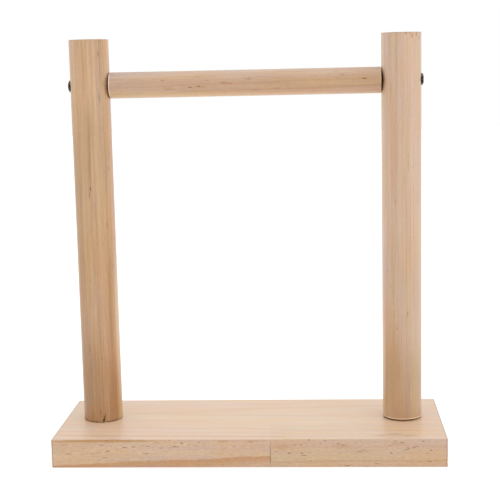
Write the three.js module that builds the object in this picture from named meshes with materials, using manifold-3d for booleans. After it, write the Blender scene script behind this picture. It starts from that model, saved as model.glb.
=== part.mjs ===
// Parrot play stand: a round perch held by screws between two round posts, which stand on a
// glued-up pine board. Every piece is separate, with the screw holes, countersinks and screw
// seats that let the stand come apart on a bench.
//
// Millimetres. X runs along the board, Y towards its back edge and Z up. The origin is the
// middle of the board's underside.

import * as THREE from 'three';
import { mergeVertices } from 'three/addons/utils/BufferGeometryUtils.js';
import Module from 'manifold-3d';

const wasm = await Module();
wasm.setup();

// ---------------------------------------------------------------------------------------
// Driving dimensions

const STAND_HEIGHT = 265; // from the underside of the board to the tops of the posts

const BOARD_LENGTH = 246;
const BOARD_DEPTH = 90;
const BOARD_THICKNESS = 18;
const BOARD_ARRIS = 0.5; // sanded edge of the board
const FRONT_ROW_DEPTH = 30; // front stave; the rear one takes up the rest of the depth
const GLUE_LINE = 0.1;

const END_JOINT_X = 14; // where the end joint shows in the board's front edge
const FINGER_COUNT = 8; // fingers across the front stave
const FINGER_LENGTH = 10;
const FINGER_TIP = 0.7; // blunt width at the end of a finger

const POST_DIAMETER = 25;
const POST_SPACING = 197; // between the axes of the two posts
const POST_SETBACK = 4; // posts stand this far behind the middle of the board
const POST_ARRIS = 0.6;

const PERCH_DIAMETER = 16.5;
const PERCH_AXIS_HEIGHT = 236;
const PERCH_ARRIS = 0.4;

const SEAT_GAP = 0.3; // left between a piece and what it is screwed against

const SCREW_SHANK_DIAMETER = 4;
const SCREW_CORE_DIAMETER = 3; // the threaded stretch, at the root of its thread
const SCREW_POINT_LENGTH = 5;
const SCREW_FIT = 0.3; // air between a screw and its hole, all round
const PILOT_SPARE = 3; // a pilot hole goes this much deeper than its screw
const DRILL_POINT = 0.6; // height of a drilled hole's pointed end, as a share of its radius

const PAN_HEAD_DIAMETER = 8;
const PAN_HEAD_HEIGHT = 2.6;
const PAN_HEAD_SHOULDER = 0.9; // straight side of the head, below its round top
const PAN_HEAD_FLAT = 3.6; // diameter of the flat in the middle of the round top
const PAN_HEAD_SINK = 1.2; // how deep the pan head beds into the post
const PERCH_SCREW_LENGTH = 45;
const PERCH_SCREW_SHANK = 23;

const FLAT_HEAD_DIAMETER = 8;
const FLAT_HEAD_RIM = 0.4; // straight edge round a countersunk head
const FLAT_HEAD_SINK = 0.5; // how far it lies below the board's underside
const BASE_SCREW_LENGTH = 40;
const BASE_SCREW_SHANK = 17;

const RECESS_SPAN = 4.6; // cross recess, tip to tip at its mouth
const RECESS_FLOOR = 2.4; // tip to tip at its floor
const RECESS_SLOT = 1;
const RECESS_DEPTH = 1.5;

const ROUND_SIDES = 72; // facets round a post or the perch
const SCREW_SIDES = 32;
const PAN_HEAD_STEPS = 6; // facets up the round top of a pan head
const CUT_OVERRUN = 1; // how far a cutter runs past the face that it opens
const WELD_DISTANCE = 1e-4; // vertices closer than this are one

// ---------------------------------------------------------------------------------------
// Sizes that follow from them

const postRadius = POST_DIAMETER / 2;
const postX = POST_SPACING / 2;
const postFoot = BOARD_THICKNESS + SEAT_GAP;
const postLength = STAND_HEIGHT - postFoot;
const perchRadius = PERCH_DIAMETER / 2;
const perchLength = POST_SPACING - POST_DIAMETER - 2 * SEAT_GAP;
const panSeat = postRadius - PAN_HEAD_SINK; // flat in the post under the pan head
const clearanceRadius = SCREW_SHANK_DIAMETER / 2 + SCREW_FIT;
const pilotRadius = SCREW_CORE_DIAMETER / 2 + SCREW_FIT;
const boardFront = -BOARD_DEPTH / 2;
const rowSeam = boardFront + FRONT_ROW_DEPTH; // glue line between the two rows

// ---------------------------------------------------------------------------------------
// Finishes

const pineBoard = { color: 0xe6ccb0, roughness: 0.62, metalness: 0 };
const pinePost = { color: 0xd2ad82, roughness: 0.6, metalness: 0 };
const pinePerch = { color: 0xd8b48c, roughness: 0.6, metalness: 0 };
const darkSteel = { color: 0x5c5550, roughness: 0.38, metalness: 1 };
const zincSteel = { color: 0xb9b7b0, roughness: 0.35, metalness: 1 };

// ---------------------------------------------------------------------------------------
// Solids

// One closed body from a geometry, whose seams and poles are welded.
function toSolid(geometry) {
  const bare = geometry.clone();
  bare.deleteAttribute('normal');
  bare.deleteAttribute('uv');
  const welded = mergeVertices(bare, WELD_DISTANCE);
  const index = welded.index.array;
  const corners = [];
  for (let i = 0; i < index.length; i += 3) {
    const [a, b, c] = [index[i], index[i + 1], index[i + 2]];
    if (a !== b && b !== c && c !== a) {
      corners.push(a, b, c);
    }
  }
  return new wasm.Manifold(new wasm.Mesh({
    numProp: 3,
    vertProperties: new Float32Array(welded.attributes.position.array),
    triVerts: new Uint32Array(corners),
  }));
}

function toGeometry(solid) {
  const mesh = solid.getMesh();
  const geometry = new THREE.BufferGeometry();
  geometry.setAttribute('position', new THREE.BufferAttribute(mesh.vertProperties, 3));
  geometry.setIndex(new THREE.BufferAttribute(mesh.triVerts, 1));
  geometry.computeVertexNormals();
  return geometry;
}

// A named piece of the stand in one finish.
function piece(name, solid, finish) {
  const mesh = new THREE.Mesh(toGeometry(solid), new THREE.MeshStandardMaterial(finish));
  mesh.name = name;
  return mesh;
}

// Turns a profile of [radius, height] points round the Z axis.
function turned(profile, sides) {
  const points = profile.map(([radius, height]) => new THREE.Vector2(radius, height));
  return new THREE.LatheGeometry(points, sides).rotateX(Math.PI / 2);
}

// Points of a quarter round from one [radius, height] to another, bulging outwards.
function quarterRound(from, to, steps) {
  const points = [];
  for (let i = 0; i <= steps; i += 1) {
    const angle = (i / steps) * (Math.PI / 2);
    points.push([
      from[0] + (to[0] - from[0]) * (1 - Math.cos(angle)),
      from[1] + (to[1] - from[1]) * Math.sin(angle),
    ]);
  }
  return points;
}

// A dowel on the Z axis from z = 0, with both ends cut square and their edges broken.
function dowel(radius, length, arris) {
  return turned([
    [0, 0],
    [radius - arris, 0],
    [radius, arris],
    [radius, length - arris],
    [radius - arris, length],
    [0, length],
  ], ROUND_SIDES);
}

// A drilled hole on the Z axis, open below z = 0, with the cone that the drill's tip leaves.
function drilledHole(radius, depth) {
  return turned([
    [0, -CUT_OVERRUN],
    [radius, -CUT_OVERRUN],
    [radius, depth],
    [0, depth + radius * DRILL_POINT],
  ], SCREW_SIDES);
}

// ---------------------------------------------------------------------------------------
// The board, glued up from staves

// The whole board's outer shape, with its edges broken, which every stave is trimmed to.
function boardBlank() {
  const halfLength = BOARD_LENGTH / 2 - BOARD_ARRIS;
  const halfDepth = BOARD_DEPTH / 2 - BOARD_ARRIS;
  const outline = new THREE.Shape();
  outline.moveTo(-halfLength, -halfDepth);
  outline.lineTo(halfLength, -halfDepth);
  outline.lineTo(halfLength, halfDepth);
  outline.lineTo(-halfLength, halfDepth);
  outline.closePath();
  const blank = new THREE.ExtrudeGeometry(outline, {
    depth: BOARD_THICKNESS - 2 * BOARD_ARRIS,
    bevelEnabled: true,
    bevelSegments: 1,
    bevelSize: BOARD_ARRIS,
    bevelThickness: BOARD_ARRIS,
  });
  return toSolid(blank.translate(0, 0, BOARD_ARRIS));
}

// The outline of a finger joint across the front row, from its front edge to its back edge.
// side is -1 for the length of stave that ends at the joint and +1 for the one that starts
// there: each keeps half a glue line back from the line that they share.
function fingerOutline(row, side) {
  const pitch = FRONT_ROW_DEPTH / FINGER_COUNT;
  const back = side * GLUE_LINE / 2;
  const rootX = END_JOINT_X + back;
  const tipX = END_JOINT_X + FINGER_LENGTH + back;
  const halfTip = FINGER_TIP / 2 + back;
  const halfRoot = (pitch - FINGER_TIP) / 2 + back;
  const points = [[rootX, row.front]];
  for (let i = 0; i < FINGER_COUNT; i += 1) {
    const middle = boardFront + (i + 0.5) * pitch;
    points.push([rootX, middle - halfRoot]);
    points.push([tipX, middle - halfTip]);
    points.push([tipX, middle + halfTip]);
    points.push([rootX, middle + halfRoot]);
  }
  points.push([rootX, row.back]);
  return points;
}

// A stave of the board's full thickness, from its plan.
function stave(plan, blank) {
  const outline = new THREE.Shape(plan.map(([x, y]) => new THREE.Vector2(x, y)));
  const body = new THREE.ExtrudeGeometry(outline, {
    depth: BOARD_THICKNESS + 2 * CUT_OVERRUN,
    bevelEnabled: false,
  });
  return toSolid(body.translate(0, 0, -CUT_OVERRUN)).intersect(blank);
}

// The countersunk hole that a base screw goes up through.
function countersunkHole() {
  const mouth = FLAT_HEAD_DIAMETER / 2 + SCREW_FIT;
  const wallTop = FLAT_HEAD_SINK + FLAT_HEAD_RIM;
  const coneTop = wallTop + mouth - clearanceRadius;
  return turned([
    [0, -CUT_OVERRUN],
    [mouth, -CUT_OVERRUN],
    [mouth, wallTop],
    [clearanceRadius, coneTop],
    [clearanceRadius, BOARD_THICKNESS + CUT_OVERRUN],
    [0, BOARD_THICKNESS + CUT_OVERRUN],
  ], SCREW_SIDES);
}

// Two rows of staves. Each keeps half a glue line back from the seam, and their outer edges
// run past the blank, which trims them.
function buildBoard() {
  const board = new THREE.Group();
  const blank = boardBlank();
  const end = BOARD_LENGTH / 2 + CUT_OVERRUN;
  const frontRow = { front: boardFront - CUT_OVERRUN, back: rowSeam - GLUE_LINE / 2 };
  const rearRow = { front: rowSeam + GLUE_LINE / 2, back: -boardFront + CUT_OVERRUN };

  const leftPlan = [
    [-end, frontRow.back],
    [-end, frontRow.front],
    ...fingerOutline(frontRow, -1),
  ];
  const rightPlan = [
    [end, frontRow.front],
    [end, frontRow.back],
    ...fingerOutline(frontRow, 1).reverse(),
  ];
  const rearPlan = [
    [-end, rearRow.front],
    [end, rearRow.front],
    [end, rearRow.back],
    [-end, rearRow.back],
  ];
  const screwHoles = [-1, 1].map((side) => countersunkHole().translate(side * postX, POST_SETBACK, 0));
  const rearStave = screwHoles.reduce(
    (body, hole) => body.subtract(toSolid(hole)),
    stave(rearPlan, blank),
  );

  board.add(piece('front_stave_left', stave(leftPlan, blank), pineBoard));
  board.add(piece('front_stave_right', stave(rightPlan, blank), pineBoard));
  board.add(piece('rear_stave', rearStave, pineBoard));
  return board;
}

// ---------------------------------------------------------------------------------------
// Screws. Each lies on its own +Z axis, from its head to its point.

// A cross recess, cut in from the outer face of a head at z = face. Its two slots narrow
// towards the floor, as a driver's tip does.
function crossRecess(face) {
  const flare = (RECESS_SPAN - RECESS_FLOOR) / 2 / RECESS_DEPTH;
  const mouth = RECESS_SPAN / 2 + flare * CUT_OVERRUN;
  const side = new THREE.Shape();
  side.moveTo(-mouth, -CUT_OVERRUN);
  side.lineTo(mouth, -CUT_OVERRUN);
  side.lineTo(RECESS_FLOOR / 2, RECESS_DEPTH);
  side.lineTo(-RECESS_FLOOR / 2, RECESS_DEPTH);
  side.closePath();
  const slot = new THREE.ExtrudeGeometry(side, { depth: RECESS_SLOT, bevelEnabled: false });
  slot.translate(0, 0, -RECESS_SLOT / 2).rotateX(Math.PI / 2).translate(0, 0, face);
  return toSolid(slot).add(toSolid(slot.clone().rotateZ(Math.PI / 2)));
}

// The stem below a head whose underside is at z = 0: plain shank, threaded core and point.
function stemProfile(start, shankEnd, length) {
  const shank = SCREW_SHANK_DIAMETER / 2;
  const core = SCREW_CORE_DIAMETER / 2;
  return [
    [shank, start],
    [shank, shankEnd],
    [core, shankEnd + shank - core],
    [core, length - SCREW_POINT_LENGTH],
    [0, length],
  ];
}

function panHeadScrew() {
  const radius = PAN_HEAD_DIAMETER / 2;
  const edge = [radius, -PAN_HEAD_SHOULDER];
  const flat = [PAN_HEAD_FLAT / 2, -PAN_HEAD_HEIGHT];
  const body = toSolid(turned([
    [0, -PAN_HEAD_HEIGHT],
    ...quarterRound(edge, flat, PAN_HEAD_STEPS).reverse(),
    [radius, 0],
    ...stemProfile(0, PERCH_SCREW_SHANK, PERCH_SCREW_LENGTH),
  ], SCREW_SIDES));
  return body.subtract(crossRecess(-PAN_HEAD_HEIGHT));
}

function flatHeadScrew() {
  const radius = FLAT_HEAD_DIAMETER / 2;
  const shank = SCREW_SHANK_DIAMETER / 2;
  const coneEnd = FLAT_HEAD_RIM + radius - shank;
  const body = toSolid(turned([
    [0, 0],
    [radius, 0],
    [radius, FLAT_HEAD_RIM],
    ...stemProfile(coneEnd, BASE_SCREW_SHANK, BASE_SCREW_LENGTH),
  ], SCREW_SIDES));
  return body.subtract(crossRecess(0));
}

// ---------------------------------------------------------------------------------------
// Posts and perch

// A post on its own Z axis from its foot up, with the outer end of its cross hole towards -X.
function postSolid() {
  const crossHole = new THREE.CylinderGeometry(
    clearanceRadius, clearanceRadius, POST_DIAMETER + 2 * CUT_OVERRUN, SCREW_SIDES,
  );
  const seatLength = PAN_HEAD_SINK + SEAT_GAP + CUT_OVERRUN;
  const seatRadius = PAN_HEAD_DIAMETER / 2 + SCREW_FIT;
  const seat = new THREE.CylinderGeometry(seatRadius, seatRadius, seatLength, SCREW_SIDES);
  seat.translate(0, seatLength / 2 + panSeat - SEAT_GAP, 0);
  const holeHeight = PERCH_AXIS_HEIGHT - postFoot;
  const cuts = [crossHole, seat].map((cut) => cut.rotateZ(Math.PI / 2).translate(0, 0, holeHeight));
  const pilot = drilledHole(pilotRadius, BASE_SCREW_LENGTH - BOARD_THICKNESS + PILOT_SPARE);
  return [...cuts, pilot].reduce(
    (body, cut) => body.subtract(toSolid(cut)),
    toSolid(dowel(postRadius, postLength, POST_ARRIS)),
  );
}

// The perch on its own Z axis, centred, with a pilot hole up each end.
function perchSolid() {
  const depth = PERCH_SCREW_LENGTH - (panSeat + postRadius) + PILOT_SPARE;
  const body = dowel(perchRadius, perchLength, PERCH_ARRIS).translate(0, 0, -perchLength / 2);
  const lower = drilledHole(pilotRadius, depth).translate(0, 0, -perchLength / 2);
  const upper = lower.clone().rotateX(Math.PI);
  return toSolid(body).subtract(toSolid(lower)).subtract(toSolid(upper));
}

function buildUprights() {
  const uprights = new THREE.Group();
  uprights.position.set(0, POST_SETBACK, 0);
  for (const [name, side] of [['left', -1], ['right', 1]]) {
    const post = piece(`${name}_post`, postSolid(), pinePost);
    post.position.set(side * postX, 0, postFoot);
    post.rotation.z = side < 0 ? 0 : Math.PI;

    const baseScrew = piece(`${name}_base_screw`, flatHeadScrew(), zincSteel);
    baseScrew.position.set(side * postX, 0, FLAT_HEAD_SINK);

    const perchScrew = piece(`${name}_perch_screw`, panHeadScrew(), darkSteel);
    perchScrew.position.set(side * (postX + panSeat), 0, PERCH_AXIS_HEIGHT);
    perchScrew.rotation.y = -side * Math.PI / 2;

    uprights.add(post, baseScrew, perchScrew);
  }
  const perch = piece('perch', perchSolid(), pinePerch);
  perch.position.set(0, 0, PERCH_AXIS_HEIGHT);
  perch.rotation.y = Math.PI / 2;
  uprights.add(perch);
  return uprights;
}

const stand = new THREE.Group();
stand.add(buildBoard(), buildUprights());

export default stand;
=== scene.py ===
"""Parrot play stand: a round perch between two round posts on a glued-up pine board.

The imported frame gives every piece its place. Each piece is modelled again here with finer
edges, drilled and countersunk as on a bench, and dressed in its own cut of pine or its own
steel. Sizes are millimetres throughout, and become metres where an operator is called.
"""

import logging
import math
from collections.abc import Callable, Iterator
from contextlib import contextmanager
from dataclasses import dataclass, field
from enum import Enum

import bmesh
import bpy
from mathutils import Matrix, Vector


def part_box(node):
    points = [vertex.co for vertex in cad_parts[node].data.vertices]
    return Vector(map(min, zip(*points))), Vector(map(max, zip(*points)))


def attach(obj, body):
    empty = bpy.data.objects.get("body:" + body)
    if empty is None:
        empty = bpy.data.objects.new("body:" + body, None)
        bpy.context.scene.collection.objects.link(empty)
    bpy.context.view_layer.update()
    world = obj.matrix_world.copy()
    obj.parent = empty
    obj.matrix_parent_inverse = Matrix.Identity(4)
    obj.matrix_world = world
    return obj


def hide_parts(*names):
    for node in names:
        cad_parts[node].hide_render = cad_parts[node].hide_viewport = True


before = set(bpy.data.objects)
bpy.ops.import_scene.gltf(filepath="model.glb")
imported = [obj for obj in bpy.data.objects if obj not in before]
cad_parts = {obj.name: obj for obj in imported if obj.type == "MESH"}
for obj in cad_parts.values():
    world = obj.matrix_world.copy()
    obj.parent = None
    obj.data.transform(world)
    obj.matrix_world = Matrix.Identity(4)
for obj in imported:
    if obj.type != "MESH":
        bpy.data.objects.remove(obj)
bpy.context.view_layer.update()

MM = 0.001
OVERRUN = 2.0  # how far a cutter or an untrimmed slab runs past the wood
log = logging.getLogger("play_stand")

Point = tuple[float, float, float]
Colour = tuple[float, float, float, float]
Tint = tuple[float, float, float]  # what a colour's red, green and blue are multiplied by


def paint(red: int, green: int, blue: int) -> Colour:
    """A colour as Blender mixes it, from the 0 to 255 values that a screen shows."""
    linear = [
        share / 12.92 if share <= 0.04045 else ((share + 0.055) / 1.055) ** 2.4
        for share in (red / 255, green / 255, blue / 255)
    ]
    return (linear[0], linear[1], linear[2], 1.0)


def node_box(node: str) -> tuple[Vector, Vector]:
    """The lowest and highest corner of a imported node, in millimetres."""
    low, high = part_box(node)
    return low / MM, high / MM


# --------------------------------------------------------------------------------------
# Shader maths


def operator(operation: str, swapped: bool = False) -> Callable[["Value", "Value | float"], "Value"]:
    """One of Python's operators, as a method that adds a Math node.

    Args:
        operation: the Math node's operation.
        swapped: whether the value stands to the right of the operator.

    Returns:
        The method.
    """
    def method(self: "Value", other: "Value | float") -> "Value":
        """The Math node on this value and the other one."""
        return self.math(operation, *((other, self) if swapped else (self, other)))

    return method


@dataclass(frozen=True)
class Value:
    """One output of a node, on which Python's operators add Math nodes."""

    graph: "Graph"
    socket: bpy.types.NodeSocket

    def math(self, operation: str, *operands: "Value | float") -> "Value":
        """A Math node on the operands, in order."""
        return self.graph.node("ShaderNodeMath", {"operation": operation}, dict(enumerate(operands)))

    __add__ = operator("ADD")
    __radd__ = operator("ADD", swapped=True)
    __sub__ = operator("SUBTRACT")
    __rsub__ = operator("SUBTRACT", swapped=True)
    __mul__ = operator("MULTIPLY")
    __rmul__ = operator("MULTIPLY", swapped=True)
    __truediv__ = operator("DIVIDE")
    __pow__ = operator("POWER")

    def __neg__(self) -> "Value":
        """-self."""
        return self.math("MULTIPLY", self, -1.0)

    def __abs__(self) -> "Value":
        """The distance from nought."""
        return self.math("ABSOLUTE", self)

    def fraction(self) -> "Value":
        """What is left of the value past the whole number below it."""
        return self.math("FRACT", self)

    def floor(self) -> "Value":
        """The whole number below the value."""
        return self.math("FLOOR", self)

    def either(self, other: "Value | float") -> "Value":
        """The larger of the two values."""
        return self.math("MAXIMUM", self, other)

    def bearing(self, ahead: "Value") -> "Value":
        """The angle, in degrees, of a point this far to the side and so far ahead."""
        return self.math("DEGREES", self.math("ARCTAN2", self, ahead))

    def rise(self, low: float, high: float) -> "Value":
        """A smooth step from 0 where the value is low to 1 where it is high."""
        return self.graph.node(
            "ShaderNodeMapRange",
            {"interpolation_type": "SMOOTHSTEP"},
            {"Value": self, "From Min": low, "From Max": high},
        )

    def output(self, name: str) -> "Value":
        """Another output of the same node."""
        return Value(self.graph, self.socket.node.outputs[name])


@dataclass(frozen=True)
class Graph:
    """The node tree of one material or world."""

    tree: bpy.types.NodeTree

    def node(
        self,
        kind: str,
        settings: dict[str, object] | None = None,
        sockets: dict[str | int, object] | None = None,
        output: str | int = 0,
    ) -> Value:
        """Add a node, whose settings are made before its sockets are filled.

        Args:
            kind: Blender's type of the node.
            settings: the node's own properties, such as a Math node's operation.
            sockets: what goes into each input, a Value or a plain value.
            output: the output that is wanted.

        Returns:
            That output of the new node.
        """
        made = self.tree.nodes.new(kind)
        for name, setting in (settings or {}).items():
            setattr(made, name, setting)
        for key, content in (sockets or {}).items():
            if isinstance(content, Value):
                self.tree.links.new(content.socket, made.inputs[key])
            else:
                made.inputs[key].default_value = content
        return Value(self, made.outputs[output])

    def vector(self, operation: str, first: object, second: object, output: int = 0) -> Value:
        """A Vector Math node on two vectors; output 1 is a length or a product's number."""
        return self.node("ShaderNodeVectorMath", {"operation": operation}, {0: first, 1: second}, output)

    def scaled(self, vector: Value, factor: "Value | float") -> Value:
        """A vector or a colour times a number."""
        return self.node("ShaderNodeVectorMath", {"operation": "SCALE"}, {0: vector, "Scale": factor})

    def split(self, vector: Value) -> tuple[Value, Value, Value]:
        """The X, Y and Z of a vector."""
        first = self.node("ShaderNodeSeparateXYZ", sockets={0: vector})
        return first, first.output("Y"), first.output("Z")

    def joined(self, x: object, y: object, z: object) -> Value:
        """A vector from its X, Y and Z."""
        return self.node("ShaderNodeCombineXYZ", sockets={0: x, 1: y, 2: z})

    def mixed(self, first: object, second: object, share: "Value | float", how: str = "MIX") -> Value:
        """Two colours, mixed by share.

        Args:
            first: the colour where share is 0.
            second: the colour where share is 1, or what multiplies the first one there.
            share: how much of the second one there is.
            how: the Mix node's blend type.

        Returns:
            The mixed colour.
        """
        settings = {"data_type": "RGBA", "blend_type": how}
        return self.node("ShaderNodeMix", settings, {0: share, 6: first, 7: second}, output=2)

    def noise(self, vector: Value, detail: float = 2.0, roughness: float = 0.5) -> Value:
        """Cloudy noise about 0.5, whose clouds are one unit of vector across."""
        sockets = {"Vector": vector, "Scale": 1.0, "Detail": detail, "Roughness": roughness}
        return self.node("ShaderNodeTexNoise", {"noise_dimensions": "3D"}, sockets)

    def bump(self, height: Value, distance: float, strength: float) -> Value:
        """A surface normal pushed about by height, of which 1 stands for distance, in mm."""
        sockets = {"Height": height, "Distance": distance * MM, "Strength": strength}
        return self.node("ShaderNodeBump", sockets=sockets)

    def surface(self, sockets: dict[str, object]) -> None:
        """End the material in a Principled shader with these sockets."""
        shader = self.node("ShaderNodeBsdfPrincipled", sockets=sockets)
        self.node_out(shader, "ShaderNodeOutputMaterial")

    def node_out(self, shader: Value, kind: str) -> None:
        """Send a shader to the tree's output node."""
        outlet = self.tree.nodes.new(kind)
        self.tree.links.new(shader.socket, outlet.inputs["Surface"])


def new_material(name: str) -> tuple[bpy.types.Material, Graph]:
    """An empty material and its graph."""
    material = bpy.data.materials.new(name)
    material.use_nodes = True
    material.node_tree.nodes.clear()
    return material, Graph(material.node_tree)


# --------------------------------------------------------------------------------------
# Finishes


class Grain(Enum):
    """Which way the grain of a piece runs."""

    ALONG_X = "x"
    ALONG_Z = "z"


@dataclass(frozen=True)
class Mark:
    """One fleck, streak or pin knot at the surface, drawn out along the grain.

    Attributes:
        place: its middle, in the stand's frame.
        reach: half its length along the grain.
        breadth: half its width.
        depth: how strong it is, up to 1.
        core: the share of it that is at full strength.
    """

    place: Point
    reach: float
    breadth: float
    depth: float
    core: float = 0.35


@dataclass(frozen=True)
class Band:
    """A stretch round a piece whose wood is of another tone, or over which light or shade is painted.

    Attributes:
        bearing: the middle of the band, in degrees from the front.
        spread: half its width, in degrees.
        low: where it starts along the grain.
        high: where it ends along the grain.
        tint: what the wood's colour is multiplied by in the band.
        fade: the length over which it starts and ends.
    """

    bearing: float
    spread: float
    low: float
    high: float
    tint: Tint
    fade: float = 24.0


@dataclass(frozen=True)
class Wood:
    """Where a point lies in one piece's wood, as values of its material.

    Attributes:
        graph: the material's graph.
        along: the length along the grain.
        across: the first length across the grain.
        upward: the second length across the grain.
        seed: sets this piece's figure apart from the others'.
    """

    graph: Graph
    along: Value
    across: Value
    upward: Value
    seed: float

    def stretched(self, length: float, width: float, shift: float) -> Value:
        """Coordinates whose unit is length along the grain and width across it."""
        return self.graph.joined(
            self.along / length + (self.seed + shift),
            self.across / width + self.seed * 1.7,
            self.upward / width - shift,
        )


@dataclass(frozen=True)
class Pine:
    """Bare sanded pine, as one piece was sawn from its tree.

    Attributes:
        name: the material's name.
        grain: which way the grain runs.
        middle: the point that the lengths along and across the grain start from.
        pith: how far the heart of the tree lies across the grain, in the frame's order.
        lean: how far the pith moves across for each millimetre along.
        bow: how fast its upward run curves along the piece.
        ring_width: from one growth ring to the next.
        ring_edge: how far from the pith one ring ends.
        late_share: how much of a ring is dark latewood.
        wander: how far the rings stray from round.
        early: the colour of the pale wood.
        late: the colour of the latewood.
        ring_depth: how strongly the ring that ends at ring_edge shows.
        other_years: how strongly the other rings show beside it.
        streak_depth: how strongly long streaks show.
        fibre_depth: how strongly the fine fibres show.
        speckle_depth: how strongly their shortest and finest ends show.
        edge_tone_and_sheen: what the colour is multiplied by on a board's sawn edges: their own tone, and
            painted sheen that leaves the broad faces paler.
        fleck_share: how many of the random flecks are kept, up to 1.
        seed: sets this piece's figure apart from the others'.
        bands: stretches of another tone round the piece, some of them painted light and shade.
        flecks: dark brown marks.
        ambers: resin-coloured marks.
        greys: weathered or blue-grey marks.
        grimes: the dark glue line of the end joint, and painted shade in its open spots, in cracks, in the
            nick and round the perch's ends.
    """

    name: str
    grain: Grain
    middle: Point
    pith: tuple[float, float]
    lean: tuple[float, float]
    ring_width: float
    ring_edge: float
    late_share: float
    wander: float
    early: Colour
    late: Colour
    seed: float
    bow: float = 0.0
    ring_depth: float = 1.0
    other_years: float = 0.5
    streak_depth: float = 0.12
    fibre_depth: float = 0.16
    speckle_depth: float = 0.12
    edge_tone_and_sheen: Colour | None = None
    fleck_share: float = 0.5
    bands: tuple[Band, ...] = ()
    flecks: tuple[Mark, ...] = ()
    ambers: tuple[Mark, ...] = ()
    greys: tuple[Mark, ...] = ()
    grimes: tuple[Mark, ...] = ()

    FLECK_STAIN = paint(118, 66, 8)
    AMBER_STAIN = paint(186, 141, 90)
    GREY_STAIN = paint(132, 122, 112)
    # Near black: the dark glue line of the end joint, and painted shade in gaps, cracks and the nick.
    JOINT_AND_SHADE_STAIN = paint(26, 21, 19)
    END_TINT = paint(222, 204, 180)
    ROSE = (1.015, 0.98, 1.07, 1.0)  # what some streaks are multiplied by
    HONEY = (0.985, 1.015, 0.92, 1.0)  # and what the streaks beside them are
    CLOUD_TINT = paint(255, 247, 236)
    CLOUD_DEPTH = 0.08  # how strongly broad clouds show in the tone
    FLECK_SHOW = 0.75  # how strongly a random fleck shows
    SHEEN = 0.38  # roughness of the sanded wood
    RELIEF = 0.12  # height of its raised fibres
    RELIEF_SHOW = 0.35  # and how strongly they show
    RING_BLUNT = 0.035  # the share of a ring over which its dark edge drops

    def material(self) -> bpy.types.Material:
        """The finished material.

        Returns:
            Pine with rings, streaks, flecks, marks and end grain that agree on all faces.
        """
        material, graph = new_material(self.name)
        wood = Wood(graph, *self._lengths(graph), self.seed)
        late = self._rings(wood)
        fibres = graph.noise(wood.stretched(30, 0.9, 3.1), detail=3, roughness=0.7)
        streaks = graph.noise(wood.stretched(120, 2.2, 7.7), detail=2, roughness=0.6)
        clouds = graph.noise(wood.stretched(45, 14, 11.3), detail=2)
        ends = self._end_share(graph)

        colour = graph.mixed(self.early, self.late, late * self.ring_depth)
        warmer = graph.mixed(colour, self.CLOUD_TINT, clouds.rise(0.35, 0.7), "MULTIPLY")
        hue = graph.mixed(self.ROSE, self.HONEY, streaks.rise(0.3, 0.7))
        warmer = graph.mixed(warmer, hue, 1.0, "MULTIPLY")
        colour = self._banded(wood, warmer)
        speckle = (graph.noise(wood.stretched(2.6, 0.5, 23.9), detail=1) - 0.5) * self.speckle_depth * 2
        # The edges get their own darker, more orange tone, and the broad faces stay paler as painted sheen.
        if self.edge_tone_and_sheen:
            edges = self._edge_share(graph)
            colour = graph.mixed(colour, self.edge_tone_and_sheen, edges, "MULTIPLY")
            speckle = speckle * (0.4 + edges * 0.6)
        tone = 1 + (streaks - 0.5) * self.streak_depth * 2 + (fibres - 0.5) * self.fibre_depth * 2
        colour = graph.scaled(colour, tone + (clouds - 0.5) * self.CLOUD_DEPTH + speckle)

        pits = self._random_flecks(wood)
        if self.edge_tone_and_sheen:
            pits = pits * edges
        colour = graph.mixed(colour, self.FLECK_STAIN, pits * self.FLECK_SHOW)
        # The last stain paints shade into gaps, cracks and the open spots of the joint.
        for marks, stain in (
            (self.greys, self.GREY_STAIN),
            (self.ambers, self.AMBER_STAIN),
            (self.flecks, self.FLECK_STAIN),
            (self.grimes, self.JOINT_AND_SHADE_STAIN),
        ):
            if marks:
                spots = self._spots(graph, marks)
                colour = graph.mixed(colour, stain, spots)
                pits = pits.either(spots)

        pores = graph.noise(wood.stretched(4, 0.35, 17.9), detail=2)
        end_wood = graph.mixed(warmer, self.END_TINT, 1.0, "MULTIPLY")
        end_wood = graph.scaled(end_wood, 1.14 - late * 0.16 - pores * 0.3)
        colour = graph.mixed(colour, end_wood, ends)

        height = fibres * 0.5 + late * 0.25 - pits * 0.3 - pores * ends
        graph.surface({
            "Base Color": colour,
            "Roughness": self.SHEEN - late * 0.05 + (fibres - 0.5) * 0.1 + ends * 0.35,
            "Normal": graph.bump(height, self.RELIEF, self.RELIEF_SHOW),
        })
        return material

    def _lengths(self, graph: Graph) -> tuple[Value, Value, Value]:
        """Lengths in millimetres along the grain and the two ways across it."""
        place = graph.scaled(graph.node("ShaderNodeTexCoord", output="Object"), 1 / MM)
        x, y, z = graph.split(graph.vector("SUBTRACT", place, self.middle))
        return (x, y, z) if self.grain is Grain.ALONG_X else (z, x, y)

    def _bearing(self, across: Value, upward: Value) -> Value:
        """The angle round a dowel from its front, upwards or to the right."""
        if self.grain is Grain.ALONG_X:
            return upward.bearing(-across)
        return across.bearing(-upward)

    def _end_share(self, graph: Graph) -> Value:
        """1 on a face that is sawn across the grain, and 0 along it."""
        normal = graph.split(graph.node("ShaderNodeTexCoord", output="Normal"))
        facing = normal[0] if self.grain is Grain.ALONG_X else normal[2]
        return abs(facing).rise(0.4, 0.8)

    def _edge_share(self, graph: Graph) -> Value:
        """1 on the upright sides of a board, and 0 on its broad faces."""
        normal = graph.split(graph.node("ShaderNodeTexCoord", output="Normal"))
        return 1 - abs(normal[2]).rise(0.4, 0.8)

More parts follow.
